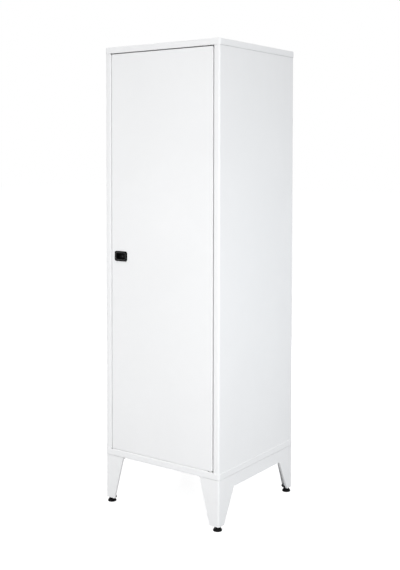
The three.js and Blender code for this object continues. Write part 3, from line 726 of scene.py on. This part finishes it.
@shared("materials")
def matt_moulding(name, colour, rough, grain_size):
    """A plain matt moulding, nylon, plastic or rubber, with a fine skin."""
    material, tree, shader, coordinates = blank_material(name)
    skin = place(tree, orange_peel(), coordinates, bump_size=grain_size)
    marks = place(tree, handling_marks(), coordinates, blotch_scale=80.0, scratch_scale=160.0)
    dusty = place(tree, settled_dust(), coordinates, amount=0.1)
    tone = spread_noise(tree, marks["Blotch"])
    shade = blend(tree, tone, opaque(colour), opaque(colour, 0.85))
    shade = blend(tree, maths(tree, "MULTIPLY", marks["Scratch"], 0.2), shade, opaque(colour, 0.7))
    shade = blend(tree, dusty["Mask"], shade, opaque(bpy.context.scene.locker_finish.dust))
    roughness = spread_noise(tree, marks["Blotch"], rough - 0.06, rough + 0.06)
    finish_shader(tree, shader, shade, roughness, skin["Height"], distance=0.00003, strength=0.5)
    return material


def nylon():
    """White nylon of the lower bush and the guides."""
    return matt_moulding("nylon", bpy.context.scene.locker_finish.nylon, rough=0.5, grain_size=0.0007)


def dusted_plastic():
    """Dark grey plastic of the upper bush, coloured as painted shade for the top gap, while the lower
    bush is white.
    """
    dusted = bpy.context.scene.locker_finish.dusted
    return matt_moulding("dusted_plastic", dusted, rough=0.6, grain_size=0.0006)


def rubber():
    """Black rubber of the door bumpers."""
    return matt_moulding("rubber", bpy.context.scene.locker_finish.rubber, rough=0.8, grain_size=0.0005)


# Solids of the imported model


@shared("node_groups")
def clean_folds(name):
    """Geometry nodes that join a solid's facets and shade each bend as one."""
    tree = bpy.data.node_groups.new(name, "GeometryNodeTree")
    tree.interface.new_socket("Geometry", in_out="INPUT", socket_type="NodeSocketGeometry")
    tree.interface.new_socket("Geometry", in_out="OUTPUT", socket_type="NodeSocketGeometry")
    given = put(tree, "NodeGroupInput")
    result = put(tree, "NodeGroupOutput")
    facets = {"Geometry": given.outputs[0], "Distance": SAME_CORNER}
    joined = put(tree, "GeometryNodeMergeByDistance", facets)
    angle = put(tree, "GeometryNodeInputMeshEdgeAngle")
    limit = bpy.context.scene.locker_edges.fold_angle
    sharp = put(
        tree,
        "FunctionNodeCompare",
        {0: angle.outputs["Unsigned Angle"], 1: limit},
        data_type="FLOAT",
        operation="GREATER_THAN",
    )
    shaded = put(
        tree,
        "GeometryNodeSetMeshNormal",
        {
            "Mesh": joined.outputs[0],
            "Remove Custom": True,
            "Edge Sharpness": sharp.outputs[0],
            "Face Sharpness": False,
        },
        mode="SHARPNESS",
    )
    tree.links.new(shaded.outputs[0], result.inputs[0])
    return tree


def dress(node, material, edge):
    """Gives a solid its finish, clean bends and rounded edges. Its own mesh stays as it is."""
    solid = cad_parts[node]
    solid.material_slots[0].link = "OBJECT"
    solid.material_slots[0].material = material
    solid.modifiers.new("folds", "NODES").node_group = clean_folds()
    flat = solid.modifiers.new("flats", "DECIMATE")
    flat.decimate_type = "DISSOLVE"
    flat.angle_limit = math.radians(0.2)
    rounding = solid.modifiers.new("edges", "BEVEL")
    rounding.width = edge
    rounding.segments = 2
    rounding.limit_method = "ANGLE"
    rounding.angle_limit = bpy.context.scene.locker_edges.fold_angle
    joined = solid.modifiers.new("joined", "WELD")
    joined.merge_threshold = SAME_BEVEL
    shading = solid.modifiers.new("shading", "WEIGHTED_NORMAL")
    shading.keep_sharp = False


def add_piece(name, shape, material, body, crisp=180):
    """A new piece from its points and faces, riding on a body, crisp where it bends by more degrees."""
    points, faces = shape
    mesh = bpy.data.meshes.new(name)
    mesh.from_pydata(points, [], faces)
    mesh.update()
    mesh.shade_smooth()
    if crisp < 180:
        mesh.set_sharp_from_angle(angle=math.radians(crisp))
    piece = bpy.data.objects.new(name, mesh)
    bpy.context.scene.collection.objects.link(piece)
    mesh.materials.append(material)
    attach(piece, body)
    return piece


def rings_to_mesh(rings, closed=False):
    """Points and faces of a skin over rings, with flat ends unless it closes on itself."""
    count = len(rings[0])
    points = [point for ring in rings for point in ring]
    faces = []
    for i in range(len(rings) if closed else len(rings) - 1):
        here, there = i * count, ((i + 1) % len(rings)) * count
        for k in range(count):
            after = (k + 1) % count
            faces.append((here + k, here + after, there + after, there + k))
    if not closed:
        faces.append(tuple(reversed(range(count))))
        faces.append(tuple(range(len(points) - count, len(points))))
    return points, faces


def at_angle(centre, radius, angle, height):
    """A point beside a vertical axis."""
    return (centre[0] + radius * math.cos(angle), centre[1] + radius * math.sin(angle), height)


def circle(centre, radius, height, sides):
    """Points of a level circle about a vertical axis."""
    turn = 2 * math.pi / sides
    return [at_angle(centre, radius, k * turn, height) for k in range(sides)]


# Pieces


class LOCKER_OT_carcass(bpy.types.Operator):
    """Paint the folded body: cap, tray, panels, rails, floor and shelves"""

    bl_idname = "locker.carcass"
    bl_label = "Carcass"

    def execute(self, context):
        edges = context.scene.locker_edges
        for name in ("top_cap", "bottom_tray"):
            dress(name, powder_coat(), edges.rim)
        rim_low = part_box("top_cap")[0]
        for name in ("left_side_panel", "right_side_panel", "back_panel"):
            # The panels' coat carries a painted shadow just under the cap's rim.
            dress(name, powder_coat("panel_coat", rim_low.z), edges.sheet)
        names = ["lintel_rail", "sill_rail", "floor_pan"]
        for shelf in SHELVES:
            names += [f"{shelf}_shelf", f"{shelf}_shelf_rail_left", f"{shelf}_shelf_rail_right"]
        for name in names:
            dress(name, powder_coat(), edges.sheet)
        return {"FINISHED"}


class LOCKER_OT_door(bpy.types.Operator):
    """Paint the door pan and its stiffener"""

    bl_idname = "locker.door"
    bl_label = "Door"

    def execute(self, context):
        edge = context.scene.locker_edges.sheet
        dress("door_skin", powder_coat(), edge)
        dress("door_stiffener", powder_coat(), edge)
        return {"FINISHED"}


class LOCKER_OT_latch(bpy.types.Operator):
    """Finish the latch's dish, grip and key plug, and set the bead round its pocket"""

    bl_idname = "locker.latch"
    bl_label = "Latch"

    def execute(self, context):
        edges = context.scene.locker_edges
        sizes = context.scene.locker_fittings
        dress("lock_dish", moulded_plastic(), edges.moulded)
        dress("lock_grip", moulded_plastic(), edges.moulded)
        dress("key_plug", key_plating(), edges.hardware)
        low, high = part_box("lock_dish")
        middle = (low + high) / 2
        reach_x = sizes.pocket_width / 2 - sizes.pocket_radius
        reach_z = sizes.pocket_height / 2 - sizes.pocket_radius
        outside = 0.6
        radius = sizes.pocket_radius + sizes.bead * outside
        steps, sides = 8, 12
        rings = []
        for corner, (side, up) in enumerate(((1, 1), (-1, 1), (-1, -1), (1, -1))):
            for k in range(steps + 1):
                angle = (corner + k / steps) * math.pi / 2
                outward = Vector((math.cos(angle), 0.0, math.sin(angle)))
                centre = Vector((middle.x + side * reach_x, low.y, middle.z + up * reach_z))
                centre += outward * radius
                section = []
                for s in range(sides):
                    turn = 2 * math.pi * s / sides
                    offset = outward * math.cos(turn) + Vector((0, math.sin(turn), 0))
                    section.append(tuple(centre + offset * sizes.bead))
                rings.append(section)
        shape = rings_to_mesh(rings, closed=True)
        # The bead carries a painted highlight round the pocket, and real gloss.
        add_piece("latch_pocket_bead", shape, satin_bead(), "door")
        return {"FINISHED"}


class LOCKER_OT_lock_works(bpy.types.Operator):
    """Finish the rods, pinion, guides, clamp and case behind the latch"""

    bl_idname = "locker.lock_works"
    bl_label = "Lock works"

    def execute(self, context):
        edge = context.scene.locker_edges.hardware
        for name in ("lock_clamp", "lock_case", "lock_pinion"):
            dress(name, zinc_plating(), edge)
        for end in ENDS:
            dress(f"{end}_lock_rod", zinc_plating(), edge)
            dress(f"{end}_rod_guide", nylon(), edge)
        return {"FINISHED"}


class LOCKER_OT_pivots(bpy.types.Operator):
    """Finish the door's pivot pins, bushes and blocks"""

    bl_idname = "locker.pivots"
    bl_label = "Pivots"

    def execute(self, context):
        edge = context.scene.locker_edges.hardware
        for end in ENDS:
            dress(f"{end}_pivot_pin", zinc_plating(), edge)
            dress(f"{end}_pivot_block", zinc_plating(), edge)
        # The upper bush is coloured dark as painted shade in the top gap.
        dress("upper_pivot_bush", dusted_plastic(), edge)
        dress("lower_pivot_bush", nylon(), edge)
        return {"FINISHED"}


class LOCKER_OT_bumpers(bpy.types.Operator):
    """Finish the rubber bumpers on the door stop"""

    bl_idname = "locker.bumpers"
    bl_label = "Bumpers"

    def execute(self, context):
        for end in ENDS:
            dress(f"{end}_door_bumper", rubber(), context.scene.locker_edges.moulded)
        return {"FINISHED"}


class LOCKER_OT_stand(bpy.types.Operator):
    """Paint the leg frames, and finish their foot plates and the bolts under the tray"""

    bl_idname = "locker.stand"
    bl_label = "Stand"

    def execute(self, context):
        edges = context.scene.locker_edges
        for side in ("left", "right"):
            dress(f"{side}_leg_frame", powder_coat(), edges.sheet)
        for corner in CORNERS:
            dress(f"{corner}_foot_plate", black_zinc_plating(), edges.hardware)
            dress(f"{corner}_stand_bolt", zinc_plating(), edges.hardware)
        return {"FINISHED"}


class LOCKER_OT_feet(bpy.types.Operator):
    """Build the levelling feet: turned pads, threaded studs and chamfered nuts"""

    bl_idname = "locker.feet"
    bl_label = "Levelling feet"

    def execute(self, context):
        for corner in CORNERS:
            self.pad(context, corner)
            self.stud(context, corner)
            self.nut(context, corner)
        return {"FINISHED"}

    def pad(self, context, corner):
        """A wide flange that rises in a hollow curve to a collar, its underside dished."""
        low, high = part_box(f"{corner}_foot_pad")
        stud_low, stud_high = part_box(f"{corner}_foot_stud")
        centre = (low + high) / 2
        wide = (high.x - low.x) / 2
        bore = (stud_high.x - stud_low.x) / 2 + 0.0002
        top = high.z
        seat = stud_low.z - 0.0002
        axis, dish = 0.0004, 0.0008
        underside = [(axis, dish), (wide * 0.46, dish), (wide * 0.5, 0.0), (wide - 0.0016, 0.0)]
        flange = [(wide - 0.0005, 0.0004), (wide, 0.0014), (wide, top * 0.2), (wide - 0.0004, top * 0.26)]
        hollow = [(wide - 0.0016, top * 0.32), (wide * 0.85, top * 0.4), (wide * 0.77, top * 0.5)]
        hollow += [(wide * 0.7, top * 0.62), (wide * 0.655, top * 0.74), (wide * 0.64, top * 0.82)]
        collar = [(wide * 0.605, top * 0.84), (wide * 0.605, top * 0.88), (wide * 0.635, top * 0.91)]
        collar += [(wide * 0.635, top - 0.0007), (wide * 0.605, top - 0.0001), (wide * 0.57, top)]
        socket = [(bore + 0.0008, top), (bore, top - 0.0008), (bore, seat), (axis, seat)]
        profile = underside + flange + hollow + collar + socket
        sides = context.scene.locker_fittings.round_sides
        rings = [circle(centre, radius, height, sides) for radius, height in profile]
        name, shape, body = f"{corner}_levelling_pad", rings_to_mesh(rings), f"{corner}_foot"
        piece = add_piece(name, shape, moulded_plastic(), body, crisp=50)
        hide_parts(f"{corner}_foot_pad")

    def stud(self, context, corner):
        """A metric thread over the stud's whole length, chamfered at both ends."""
        sizes = context.scene.locker_fittings
        low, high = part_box(f"{corner}_foot_stud")
        centre = (low + high) / 2
        crest = (high.x - low.x) / 2
        sides, per_pitch = 24, 8
        steepness, crest_flat = 2.6, 0.15
        levels = round((high.z - low.z) / sizes.thread_pitch * per_pitch)
        rings = []
        for i in range(levels + 1):
            height = low.z + (high.z - low.z) * i / levels
            from_end = min(height - low.z, high.z - height)
            ring = []
            for k in range(sides):
                angle = 2 * math.pi * k / sides
                phase = ((height - low.z) / sizes.thread_pitch - k / sides) % 1.0
                flank = min(1.0, max(0.0, abs(phase - 0.5) * steepness - crest_flat))
                radius = crest - sizes.thread_depth * flank
                radius = min(radius, crest - sizes.thread_depth * 1.1 + from_end)
                ring.append(at_angle(centre, radius, angle, height))
            rings.append(ring)
        name, shape, body = f"{corner}_threaded_stud", rings_to_mesh(rings), f"{corner}_foot"
        piece = add_piece(name, shape, black_zinc_plating(), body, crisp=40)
        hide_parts(f"{corner}_foot_stud")

    def nut(self, context, corner):
        """A hexagon nut whose corners are turned off at both ends."""
        low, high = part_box(f"{corner}_foot_nut")
        stud_low, stud_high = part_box(f"{corner}_foot_stud")
        centre = (low + high) / 2
        flats = min(high.x - low.x, high.y - low.y) / 2
        bore = (stud_high.x - stud_low.x) / 2 + 0.0003
        sides = 72
        tall_corner = high.y - low.y > high.x - low.x

        def ring(height, radius_at):
            """A ring whose radius follows the angle and whose height follows the radius."""
            made = []
            for k in range(sides):
                angle = 2 * math.pi * k / sides
                radius = radius_at(angle)
                made.append(at_angle(centre, radius, angle, height(radius)))
            return made

        def hexagon(angle):
            """Distance from the axis to the hexagon's side."""
            start = angle if tall_corner else angle - math.pi / 6
            inside = (start + math.pi / 6) % (math.pi / 3) - math.pi / 6
            return flats / math.cos(inside)

        turned = flats * 0.97
        slope = math.tan(math.radians(30))
        chamfer = 0.0007
        rings = [
            ring(lambda r: low.z + chamfer, lambda a: bore),
            ring(lambda r: low.z, lambda a: bore + chamfer),
            ring(lambda r: low.z, lambda a: turned),
            ring(lambda r: low.z + (r - turned) * slope, hexagon),
            ring(lambda r: high.z - (r - turned) * slope, hexagon),
            ring(lambda r: high.z, lambda a: turned),
            ring(lambda r: high.z, lambda a: bore + chamfer),
            ring(lambda r: high.z - chamfer, lambda a: bore),
        ]
        name, shape = f"{corner}_hexagon_nut", rings_to_mesh(rings, closed=True)
        piece = add_piece(name, shape, zinc_plating(), "cabinet", crisp=20)
        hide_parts(f"{corner}_foot_nut")


class LOCKER_OT_threshold(bpy.types.Operator):
    """Lay the painted threshold strip that narrows the gap under the door"""

    bl_idname = "locker.threshold"
    bl_label = "Threshold"

    def execute(self, context):
        door_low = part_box("door_skin")[0]
        sill_low, sill_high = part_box("sill_rail")
        bush_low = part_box("lower_pivot_bush")[0]
        front = door_low.y
        rear = front + 0.0044
        top = door_low.z - context.scene.locker_fittings.threshold
        seat = sill_high.z + 0.0002
        slot = sill_low.y - 0.0003
        foot = seat - 0.003
        section = [(front, foot), (slot, foot), (slot, seat), (rear, seat)]
        section += [(rear, top - 0.0005), (rear - 0.0005, top), (front + 0.0006, top)]
        section += [(front + 0.0002, top - 0.0002), (front, top - 0.0006)]
        ends = (door_low.x + 0.002, bush_low.x - 0.001)
        rings = [[(x, y, z) for y, z in section] for x in ends]
        shape = rings_to_mesh(rings)
        add_piece("threshold_strip", shape, powder_coat(), "cabinet", crisp=60)
        return {"FINISHED"}


class LOCKER_OT_weld_marks(bpy.types.Operator):
    """Set the painted spot welds along the back's flanges and the door's stiffener"""

    bl_idname = "locker.weld_marks"
    bl_label = "Weld marks"

    def execute(self, context):
        back_low, back_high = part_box("back_panel")
        panel_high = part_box("right_side_panel")[1]
        bar_low, bar_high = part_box("door_stiffener")
        sheet = back_high.y - back_low.y
        flange = (panel_high.x + back_high.x) / 2 - 0.006
        back_rows = (-flange, flange), panel_high.y, back_low.z, back_high.z
        self.rows(context, "back_weld_marks", "cabinet", *back_rows)
        brim = bar_high.x - 0.008
        door_rows = (-brim, brim), bar_low.y + sheet, bar_low.z, bar_high.z
        self.rows(context, "door_weld_marks", "door", *door_rows)
        return {"FINISHED"}

    def rows(self, context, name, body, columns, face, bottom, top):
        """Two upright rows of shallow round marks on a face that looks along +Y."""
        sizes = context.scene.locker_fittings
        count = int((top - bottom - sizes.weld_spacing / 2) / sizes.weld_spacing)
        first = (bottom + top - count * sizes.weld_spacing) / 2
        profile = [(1.0, -0.0001), (0.96, 0.00004), (0.86, 0.00012)]
        profile += [(0.72, 0.00012), (0.58, 0.00003), (0.05, 0.00001)]
        sides = 24
        points, faces = [], []
        for x in columns:
            for i in range(count + 1):
                z = first + i * sizes.weld_spacing
                rings = []
                for share, rise in profile:
                    level = circle((x, 0.0), sizes.weld_radius * share, 0.0, sides)
                    rings.append([(px, face + rise, z + py) for px, py, _ in level])
                own_points, own_faces = rings_to_mesh(rings)
                start = len(points)
                points += own_points
                faces += [tuple(start + k for k in reversed(one)) for one in own_faces]
        add_piece(name, (points, faces), powder_coat(), body)


class LOCKER_OT_stage(bpy.types.Operator):
    """Build the pale floor, the soft studio light and the camera"""

    bl_idname = "locker.stage"
    bl_label = "Studio"

    def execute(self, context):
        context.scene.view_settings.view_transform = "Standard"
        self.floor(context)
        self.world(context)
        studio = context.scene.locker_studio
        middle = Vector((0.0, 0.0, 0.92))
        low = Vector((0.0, 0.0, 0.8))
        self.softbox(context, "key_softbox", (1.6, -1.6, 0.82), low, (0.9, 0.9), studio.key)
        self.softbox(context, "fill_softbox", (-1.0, -2.2, 1.0), middle, (1.2, 1.4), studio.fill)
        panel = Vector((0.25, 0.0, 0.87))
        side = self.softbox(context, "side_softbox", (1.45, 0.1, 0.84), panel, (0.6, 0.5), studio.side)
        side.color = (0.85, 0.925, 1.0)
        self.softbox(context, "top_softbox", (3.2, -3.2, 7.0), middle, (3.0, 3.0), studio.top)
        self.softbox(context, "back_softbox", (-1.7, 2.3, 1.3), middle, (1.2, 1.4), studio.back)
        self.camera(context)
        return {"FINISHED"}

    def floor(self, context):
        """A wide floor that reads as white and keeps a soft contact shadow."""
        reach = 30.0
        mesh = bpy.data.meshes.new("studio_floor")
        corners = [(-reach, -reach, 0.0), (reach, -reach, 0.0), (reach, reach, 0.0), (-reach, reach, 0.0)]
        mesh.from_pydata(corners, [], [(0, 1, 2, 3)])
        floor = bpy.data.objects.new("studio_floor", mesh)
        context.scene.collection.objects.link(floor)
        material = bpy.data.materials.new("studio_floor")
        material.use_nodes = True
        tree = material.node_tree
        tree.nodes.clear()
        seen = self.seen_directly(tree)
        pale = put(tree, "ShaderNodeBsdfDiffuse", {"Color": (0.42, 0.42, 0.42, 1.0)})
        faint = put(tree, "ShaderNodeBsdfDiffuse", {"Color": (0.29, 0.29, 0.29, 1.0)})
        glow = put(tree, "ShaderNodeEmission", {"Color": (1.0, 1.0, 1.0, 1.0), "Strength": 0.88})
        white = put(tree, "ShaderNodeAddShader", {0: glow.outputs[0], 1: faint.outputs[0]})
        mixed = put(tree, "ShaderNodeMixShader", {0: seen, 1: pale.outputs[0], 2: white.outputs[0]})
        put(tree, "ShaderNodeOutputMaterial", {"Surface": mixed.outputs[0]})
        mesh.materials.append(material)

    def seen_directly(self, tree):
        """1 for rays from the camera, mirrored rays and rays through glass."""
        path = put(tree, "ShaderNodeLightPath")
        shiny = maths(tree, "MAXIMUM", path.outputs["Is Glossy Ray"], path.outputs["Is Transmission Ray"])
        return maths(tree, "MAXIMUM", path.outputs["Is Camera Ray"], shiny)

    def world(self, context):
        """White behind the object, and an even pale light from all round."""
        world = bpy.data.worlds.new("studio")
        world.use_nodes = True
        tree = world.node_tree
        tree.nodes.clear()
        light = context.scene.locker_studio.ambient
        around = put(tree, "ShaderNodeBackground", {"Color": (0.97, 0.985, 1.0, 1.0), "Strength": light})
        behind = put(tree, "ShaderNodeBackground", {"Color": (1.0, 1.0, 1.0, 1.0), "Strength": 1.0})
        seen = self.seen_directly(tree)
        mixed = put(tree, "ShaderNodeMixShader", {0: seen, 1: around.outputs[0], 2: behind.outputs[0]})
        put(tree, "ShaderNodeOutputWorld", {"Surface": mixed.outputs[0]})
        context.scene.world = world

    def softbox(self, context, name, at, aim, size, power):
        """A large rectangular softbox that neither the camera nor the gloss shows."""
        light = bpy.data.lights.new(name, "AREA")
        light.shape = "RECTANGLE"
        light.size, light.size_y = size
        light.energy = power
        lamp = bpy.data.objects.new(name, light)
        lamp.location = at
        lamp.rotation_euler = (aim - lamp.location).to_track_quat("-Z", "Y").to_euler()
        lamp.visible_camera = False
        lamp.visible_glossy = False
        context.scene.collection.objects.link(lamp)
        return light

    def camera(self, context):
        """A camera just above the middle of the door, turned towards the near corner."""
        studio = context.scene.locker_studio
        yaw, pitch, roll = studio.yaw, studio.pitch, studio.roll
        across = math.cos(pitch)
        ahead = Vector((-math.sin(yaw) * across, math.cos(yaw) * across, -math.sin(pitch)))
        level = Vector((math.cos(yaw), math.sin(yaw), 0.0))
        upright = level.cross(ahead)
        right = level * math.cos(roll) + upright * math.sin(roll)
        up = upright * math.cos(roll) - level * math.sin(roll)
        data = bpy.data.cameras.new("studio_camera")
        data.sensor_width = 36.0
        data.lens = studio.lens
        data.shift_y = studio.shift
        camera = bpy.data.objects.new("studio_camera", data)
        turned = Matrix((right, up, -ahead)).transposed().to_4x4()
        camera.matrix_world = Matrix.Translation(studio.camera) @ turned
        context.scene.collection.objects.link(camera)
        context.scene.camera = camera


OPERATORS = (
    LOCKER_OT_carcass,
    LOCKER_OT_door,
    LOCKER_OT_latch,
    LOCKER_OT_lock_works,
    LOCKER_OT_pivots,
    LOCKER_OT_bumpers,
    LOCKER_OT_stand,
    LOCKER_OT_feet,
    LOCKER_OT_threshold,
    LOCKER_OT_weld_marks,
    LOCKER_OT_stage,
)
SETTINGS = {
    "locker_finish": LockerFinish,
    "locker_edges": LockerEdges,
    "locker_fittings": LockerFittings,
    "locker_studio": LockerStudio,
}


class LOCKER_PT_sidebar(bpy.types.Panel):
    """Sizes, colours and pieces of the tool locker"""

    bl_idname = "LOCKER_PT_sidebar"
    bl_label = "Tool Locker"
    bl_space_type = "VIEW_3D"
    bl_region_type = "UI"
    bl_category = "Locker"

    def draw(self, context):
        for setting, group in SETTINGS.items():
            box = self.layout.box()
            for name in group.__annotations__:
                box.prop(getattr(context.scene, setting), name)
        for operator in OPERATORS:
            self.layout.operator(operator.bl_idname)


def register():
    """Adds the locker's settings, operators and panel."""
    for setting, group in SETTINGS.items():
        bpy.utils.register_class(group)
        setattr(bpy.types.Scene, setting, PointerProperty(type=group))
    for operator in OPERATORS:
        bpy.utils.register_class(operator)
    bpy.utils.register_class(LOCKER_PT_sidebar)


def unregister():
    """Takes them away again."""
    bpy.utils.unregister_class(LOCKER_PT_sidebar)
    for operator in reversed(OPERATORS):
        bpy.utils.unregister_class(operator)
    for setting, group in reversed(SETTINGS.items()):
        delattr(bpy.types.Scene, setting)
        bpy.utils.unregister_class(group)


def main():
    """Builds the locker and its studio."""
    register()
    bpy.ops.locker.carcass()
    bpy.ops.locker.door()
    bpy.ops.locker.latch()
    bpy.ops.locker.lock_works()
    bpy.ops.locker.pivots()
    bpy.ops.locker.bumpers()
    bpy.ops.locker.stand()
    bpy.ops.locker.feet()
    bpy.ops.locker.threshold()
    bpy.ops.locker.weld_marks()
    bpy.ops.locker.stage()


if __name__ == "__main__":
    main()
